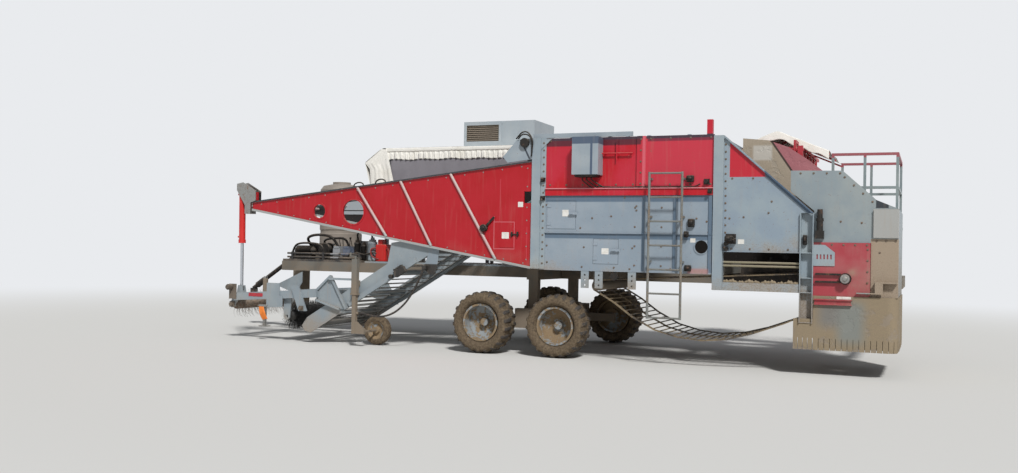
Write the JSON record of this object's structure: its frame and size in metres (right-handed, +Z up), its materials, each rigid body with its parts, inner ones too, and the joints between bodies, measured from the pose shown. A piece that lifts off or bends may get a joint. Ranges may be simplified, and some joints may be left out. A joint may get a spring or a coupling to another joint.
{
  "type": "trailed tomato harvester",
  "caption": "Trailed tomato harvester with a pickup header, sloping elevator under a tapered boom, vine shaker body, sorting deck with canopy and side discharge conveyor.",
  "frame": {"origin": "centre of the machine's outline on the ground", "axes": "-X forwards to the hitch, +X to the tail, -Y to the pickup side, +Y to the discharge side, +Z up"},
  "size_m": [12.78, 5.49, 4],
  "materials": {
    "gray_paint": "satin",
    "post_paint": "satin",
    "red_paint": "satin",
    "muddy_steel": "matte",
    "bare_steel": "satin",
    "black_iron": "matte",
    "rim_paint": "matte",
    "tyre": "matte",
    "skirt_rubber": "matte",
    "brush_plastic": "matte",
    "hose_rubber": "matte",
    "tank_plastic": "matte",
    "canopy_cloth": "matte"
  },
  "bodies": {
    "chassis": {"main_frame": "post_paint", "axle_beams": "post_paint", "tongue": "post_paint", "left_posts": "post_paint", "left_gray_panel": "gray_paint", "left_red_panel": "red_paint", "rear_side_panel": "gray_paint", "right_wall": "gray_paint", "right_red_panel": "red_paint", "front_wall": "gray_paint", "top_cover": "gray_paint", "chamber_wall": "muddy_steel", "rear_hood": "gray_paint", "rear_red_panels": "red_paint", "tail_drive": "black_iron", "tail_skirt": "skirt_rubber", "bottom_chain": "muddy_steel", "ladder": "muddy_steel", "control_box": "gray_paint", "boom_panels": "red_paint", "boom_frame": "bare_steel", "front_head": "gray_paint", "power_pack": "black_iron", "oil_tank": "tank_plastic", "sorting_deck": "post_paint", "sorting_table": "bare_steel", "canopy_cover": "canopy_cloth", "cooler_box": "gray_paint", "discharge_stand": "red_paint", "rear_platform": "post_paint", "chamber_frame": "post_paint", "cross_members": "post_paint", "boom_bracket": "bare_steel", "drive_shaft": "black_iron", "drive_fittings": "black_iron"},
    "jack": {"jack_leg": "bare_steel"},
    "wheel_front_left": {"tyre_front_left": "tyre", "rim_front_left": "rim_paint"},
    "wheel_rear_left": {"tyre_rear_left": "tyre", "rim_rear_left": "rim_paint"},
    "wheel_front_right": {"tyre_front_right": "tyre", "rim_front_right": "rim_paint"},
    "wheel_rear_right": {"tyre_rear_right": "tyre", "rim_rear_right": "rim_paint"},
    "upper_door": {"door_upper": "gray_paint"},
    "lower_door": {"door_lower": "gray_paint"},
    "header": {"elevator_frame": "gray_paint", "elevator_chain": "bare_steel", "header_arms": "gray_paint", "gauge_post": "post_paint", "header_fittings": "black_iron", "header_hose": "hose_rubber"},
    "reel": {"wire_reel": "bare_steel"},
    "brush": {"sweep_brush": "brush_plastic"},
    "gauge": {"gauge_wheel": "tyre"},
    "cylinder": {"lift_barrel": "red_paint"},
    "piston": {"lift_rod": "bare_steel"},
    "discharge": {"discharge_conveyor": "red_paint", "discharge_tarp": "canopy_cloth"}
  },
  "joints": [
    {"name": "front_left_spin", "type": "hinge", "parent": "chassis", "child": "wheel_front_left", "pos_m": [0.2295, -2.205, 0.49], "axis": [0, 1, 0], "continuous": true},
    {"name": "rear_left_spin", "type": "hinge", "parent": "chassis", "child": "wheel_rear_left", "pos_m": [1.4845, -2.205, 0.49], "axis": [0, 1, 0], "continuous": true},
    {"name": "front_right_spin", "type": "hinge", "parent": "chassis", "child": "wheel_front_right", "pos_m": [0.2295, 0.805, 0.49], "axis": [0, 1, 0], "continuous": true},
    {"name": "rear_right_spin", "type": "hinge", "parent": "chassis", "child": "wheel_rear_right", "pos_m": [1.4845, 0.805, 0.49], "axis": [0, 1, 0], "continuous": true},
    {"name": "header_lift", "type": "hinge", "parent": "chassis", "child": "header", "pos_m": [0.346, -0.7, 1.976], "axis": [0, 1, 0], "range_deg": [0, 7]},
    {"name": "cylinder_swing", "type": "hinge", "parent": "chassis", "child": "cylinder", "pos_m": [-4.33, -2.49, 2.64], "axis": [0, 1, 0], "range_deg": [0, 4.45]},
    {"name": "rod_slide", "type": "slide", "parent": "cylinder", "child": "piston", "axis": [-0.0172, 0, 0.9999], "range_m": [0, 0.5826]},
    {"name": "reel_spin", "type": "hinge", "parent": "header", "child": "reel", "pos_m": [-4.474, -0.7, 0.602], "axis": [0, 1, 0], "continuous": true},
    {"name": "brush_spin", "type": "hinge", "parent": "header", "child": "brush", "pos_m": [-3.33, -0.7, 0.44], "axis": [0, 1, 0], "continuous": true},
    {"name": "gauge_spin", "type": "hinge", "parent": "header", "child": "gauge", "pos_m": [-1.8, -2.075, 0.25], "axis": [0, 1, 0], "continuous": true},
    {"name": "jack_slide", "type": "slide", "parent": "chassis", "child": "jack", "axis": [0, 0, 1], "range_m": [0, 0.35]},
    {"name": "upper_door_hinge", "type": "hinge", "parent": "chassis", "child": "upper_door", "pos_m": [1.375, -2.51, 2.2], "axis": [0, 0, -1], "range_deg": [0, 100]},
    {"name": "lower_door_hinge", "type": "hinge", "parent": "chassis", "child": "lower_door", "pos_m": [2.135, -2.51, 1.63], "axis": [0, 0, -1], "range_deg": [0, 100]},
    {"name": "discharge_lift", "type": "hinge", "parent": "chassis", "child": "discharge", "pos_m": [4.41, -0.62, 3.3], "axis": [1, 0, 0], "range_deg": [0, 30]}
  ],
  "couplings": [
    {"joint": "cylinder_swing", "follows": "header_lift", "ratio": 0.60752},
    {"joint": "rod_slide", "follows": "header_lift", "m_per_rad": 4.6867}
  ]
}
